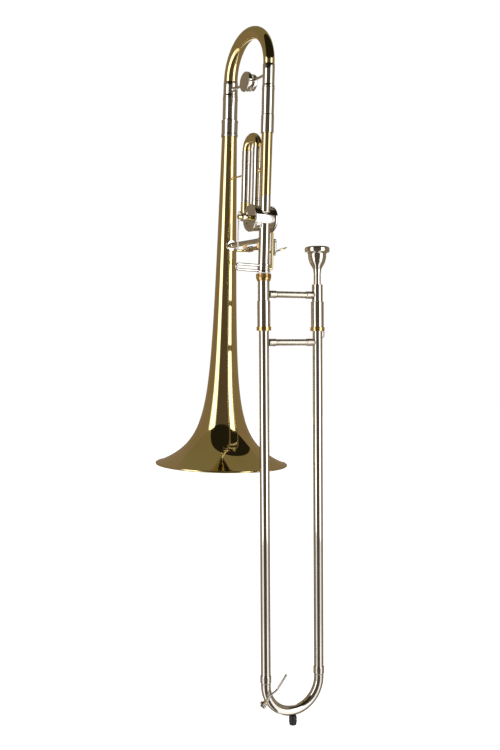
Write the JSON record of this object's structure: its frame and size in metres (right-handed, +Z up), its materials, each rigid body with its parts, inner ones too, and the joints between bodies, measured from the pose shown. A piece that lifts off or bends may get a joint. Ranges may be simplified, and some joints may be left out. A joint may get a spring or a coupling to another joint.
{
  "type": "tenor trombone",
  "caption": "Tenor trombone with rotary-valve F attachment: sliding U of tubes, flared bell, tuning slides, thumb lever, water key and cup mouthpiece.",
  "frame": {"origin": "on the slide joint's axis, in line with the lock nut's top face, where the left hand holds the instrument", "axes": "+Z up along the slide towards the mouthpiece end, +X from the bell-side slide tube to the mouthpiece tube, +Y towards the bell"},
  "size_m": [0.2429, 0.2548, 1.1127],
  "materials": {
    "lacquered_brass": "polished, clear lacquer",
    "nickel_silver": "polished nickel silver",
    "gold_brass": "polished, clear lacquer",
    "spring_steel": "drawn",
    "cork": "natural cork",
    "rubber": "moulded"
  },
  "bodies": {
    "root": {"axle_post_far": "gold_brass", "axle_post_near": "gold_brass", "barrel_cork_left": "cork", "barrel_cork_right": "cork", "bell": "lacquered_brass", "bell_tuning_sleeve": "nickel_silver", "brace_flange": "nickel_silver", "cork_barrel_left": "nickel_silver", "cork_barrel_right": "nickel_silver", "f_bell_brace": "gold_brass", "f_inlet_knuckle": "nickel_silver", "f_inlet_sleeve": "nickel_silver", "f_neck_brace": "gold_brass", "f_return_elbow": "lacquered_brass", "f_return_sleeve": "nickel_silver", "finger_rest": "nickel_silver", "front_cap": "nickel_silver", "gooseneck": "lacquered_brass", "inner_slide_brace": "nickel_silver", "inner_tube_left": "nickel_silver", "inner_tube_right": "nickel_silver", "lever_axle": "spring_steel", "lever_spring": "spring_steel", "main_brace": "nickel_silver", "mouthpiece_receiver": "nickel_silver", "neck_knuckle": "nickel_silver", "neck_tuning_sleeve": "nickel_silver", "rear_cap": "nickel_silver", "receiver_ring": "nickel_silver", "receiver_tube": "nickel_silver", "slide_joint": "nickel_silver", "valve_casing": "nickel_silver"},
    "tuning_slide": {"tuning_bow": "lacquered_brass", "bell_tuning_leg": "nickel_silver", "neck_tuning_leg": "nickel_silver", "tuning_brace": "nickel_silver", "front_balance_weight": "nickel_silver", "rear_balance_weight": "nickel_silver"},
    "f_tuning_slide": {"f_bow": "lacquered_brass", "f_inlet_leg": "nickel_silver", "f_return_leg": "nickel_silver"},
    "valve_rotor": {"rotor": "lacquered_brass", "stop_arm_hub": "nickel_silver", "stop_arm": "nickel_silver"},
    "link": {"link_rod": "nickel_silver"},
    "lever": {"thumb_lever": "lacquered_brass"},
    "outer_slide": {"outer_tube_left": "nickel_silver", "outer_tube_right": "nickel_silver", "crook_ferrule_left": "nickel_silver", "crook_ferrule_right": "nickel_silver", "slide_crook": "nickel_silver", "rubber_bumper": "rubber", "outer_slide_brace": "nickel_silver", "key_nipple": "gold_brass", "key_saddle": "nickel_silver"},
    "water_key": {"water_key": "nickel_silver", "key_pad": "spring_steel"},
    "slide_lock": {"slide_lock_ring": "gold_brass"},
    "nut": {"lock_nut": "gold_brass"},
    "mouthpiece": {"mouthpiece": "nickel_silver"}
  },
  "joints": [
    {"name": "hand_slide", "type": "slide", "parent": "root", "child": "outer_slide", "axis": [0, 0, -1], "range_m": [0, 0.55]},
    {"name": "tuning", "type": "slide", "parent": "root", "child": "tuning_slide", "axis": [0.0291, -0.0118, 0.9995], "range_m": [0, 0.038]},
    {"name": "f_tuning", "type": "slide", "parent": "root", "child": "f_tuning_slide", "axis": [0.0291, -0.0118, 0.9995], "range_m": [0, 0.05]},
    {"name": "lever_press", "type": "hinge", "parent": "root", "child": "lever", "pos_m": [-0.00075, 0.02745, 0.04137], "axis": [-0.0694, 0.9975, 0.0138], "range_deg": [-36, 0], "stiffness_Nm_per_rad": 0.4, "springref_deg": 5.73},
    {"name": "link_travel", "type": "slide", "parent": "root", "child": "link", "axis": [0.0291, -0.0118, 0.9995], "range_m": [-0.021, 0.001]},
    {"name": "rotor_turn", "type": "hinge", "parent": "root", "child": "valve_rotor", "pos_m": [0.00152, 0.01296, 0.08565], "axis": [0.9972, 0.0697, -0.0282], "range_deg": [-91, 1]},
    {"name": "key_press", "type": "hinge", "parent": "outer_slide", "child": "water_key", "pos_m": [0.00143, 0, -0.65761], "axis": [0, 1, 0], "range_deg": [0, 14], "stiffness_Nm_per_rad": 0.1, "springref_deg": -11.46},
    {"name": "lock_turn", "type": "hinge", "parent": "root", "child": "slide_lock", "pos_m": [0.096, 0, -0.0859], "axis": [0, 0, 1], "range_deg": [0, 45]},
    {"name": "nut_turn", "type": "hinge", "parent": "root", "child": "nut", "pos_m": [0, 0, -0.006], "axis": [0, 0, 1], "continuous": true},
    {"name": "mouthpiece_lift", "type": "slide", "parent": "root", "child": "mouthpiece", "axis": [0, 0, 1], "range_m": [0, 0.015]}
  ],
  "couplings": [
    {"joint": "link_travel", "follows": "lever_press", "m_per_rad": 0.0315},
    {"joint": "rotor_turn", "follows": "lever_press", "ratio": 2.5}
  ]
}
